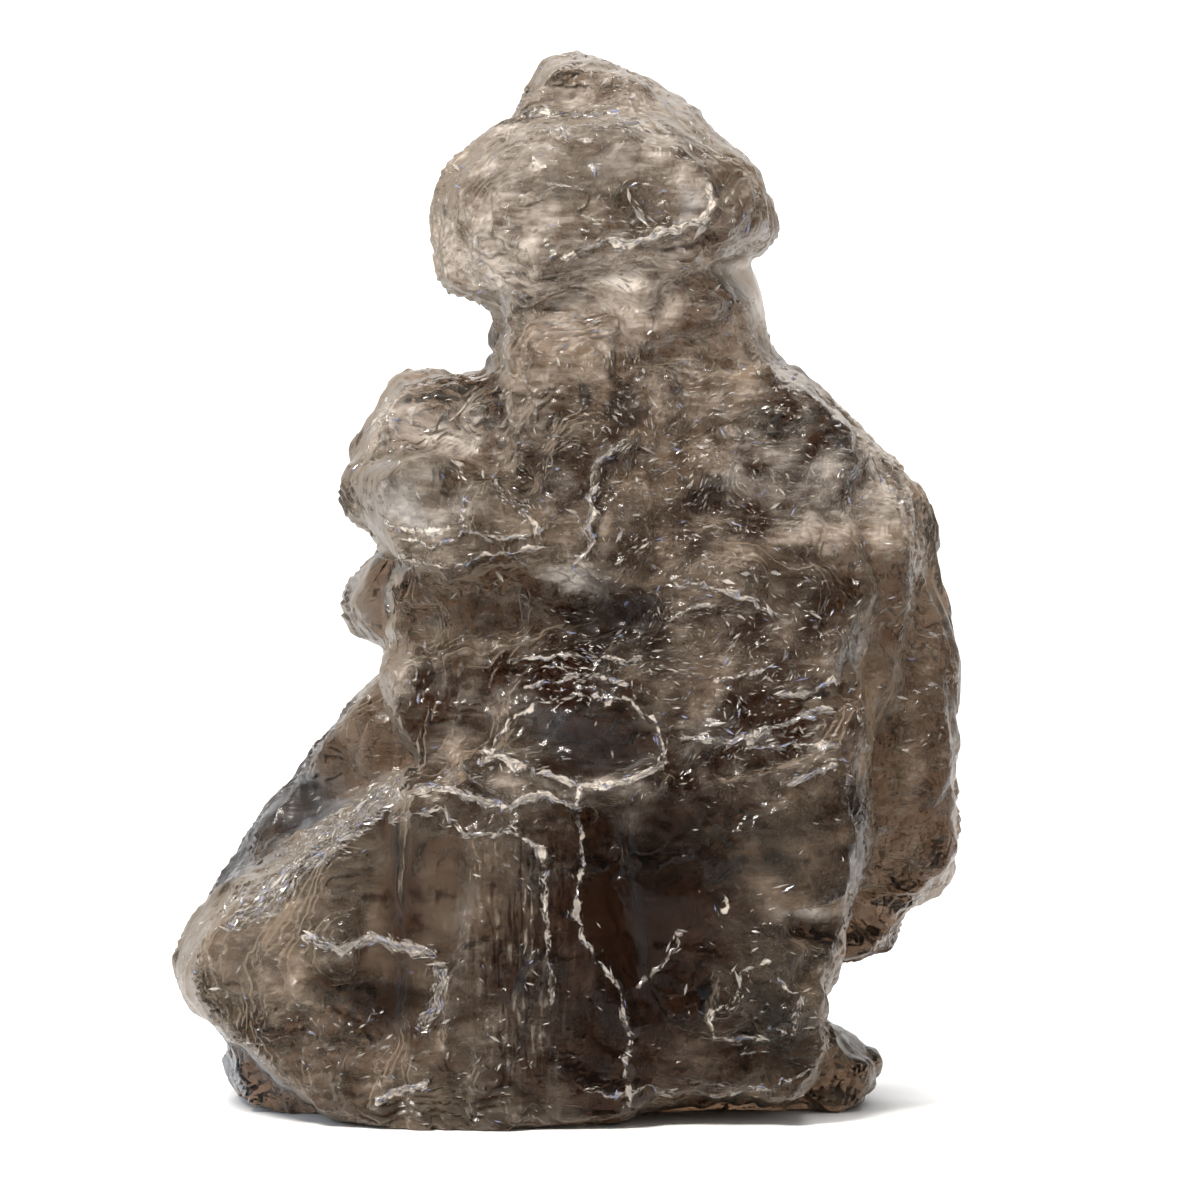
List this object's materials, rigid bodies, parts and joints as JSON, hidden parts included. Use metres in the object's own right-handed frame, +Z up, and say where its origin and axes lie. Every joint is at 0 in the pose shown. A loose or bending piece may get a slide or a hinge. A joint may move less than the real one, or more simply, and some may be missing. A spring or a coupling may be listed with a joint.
{
  "type": "selenite crystal specimen",
  "caption": "Upright smoky selenite specimen with stepped cleavage faces, a narrow neck under a pale cap, and a flat base to rest on.",
  "frame": {"origin": "middle of the bottom of the bounding box, in the plane of the flat base", "axes": "+Z up along the specimen's height, the broad cleavage face looks along -Y, +X to the viewer's right"},
  "size_m": [0.048, 0.03, 0.0634],
  "materials": {
    "smoky_selenite": "smoky brown, see-through at thin edges, vitreous on cleavage faces and frosted where worn"
  },
  "bodies": {
    "root": {"selenite_crystal": "smoky_selenite"}
  },
  "joints": []
}
